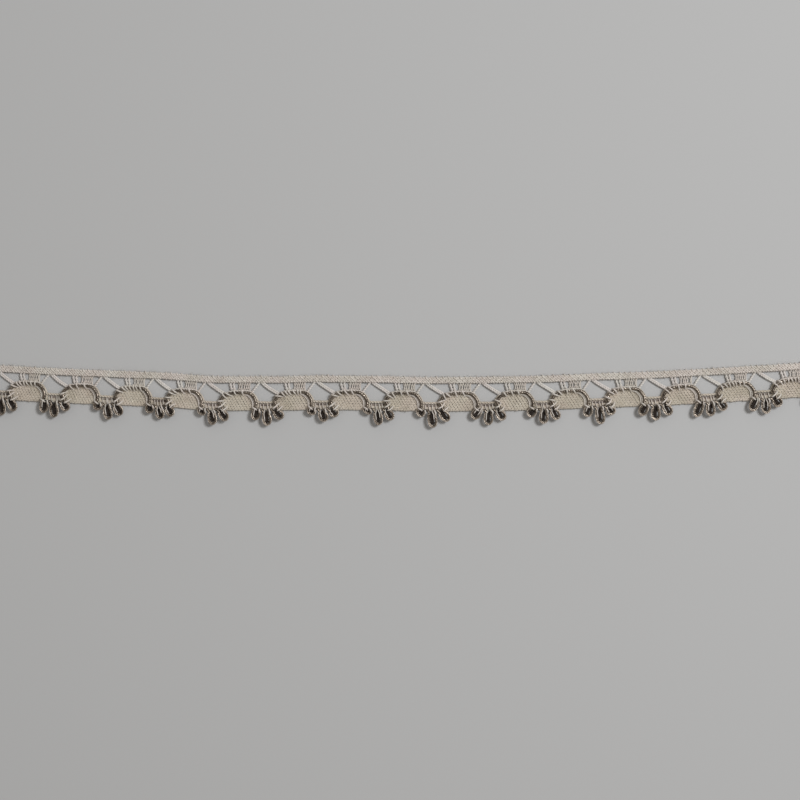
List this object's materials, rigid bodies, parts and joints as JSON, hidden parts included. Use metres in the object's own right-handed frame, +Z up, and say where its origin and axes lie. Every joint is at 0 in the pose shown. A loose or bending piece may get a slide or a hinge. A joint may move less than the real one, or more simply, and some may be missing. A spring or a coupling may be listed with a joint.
{
  "type": "bobbin lace trim",
  "caption": "Narrow cotton bobbin lace edging with a straight sewing edge, cloth blocks and open plaits, and a metal gimp that waves along the foot and loops into picots.",
  "frame": {"origin": "middle of the box of the flat edging, on the surface that it rests on", "axes": "+X along the edging, +Y towards the heading, the straight edge that is sewn down, +Z up out of the face"},
  "size_m": [0.2078, 0.0162, 0.002],
  "materials": {
    "cotton": "matt ivory cotton yarn, plaited and woven",
    "gimp": "antique silver metal strip twisted on a cotton core"
  },
  "bodies": {
    "root": {"cotton_lace": "cotton", "metal_gimp": "gimp"}
  },
  "joints": []
}
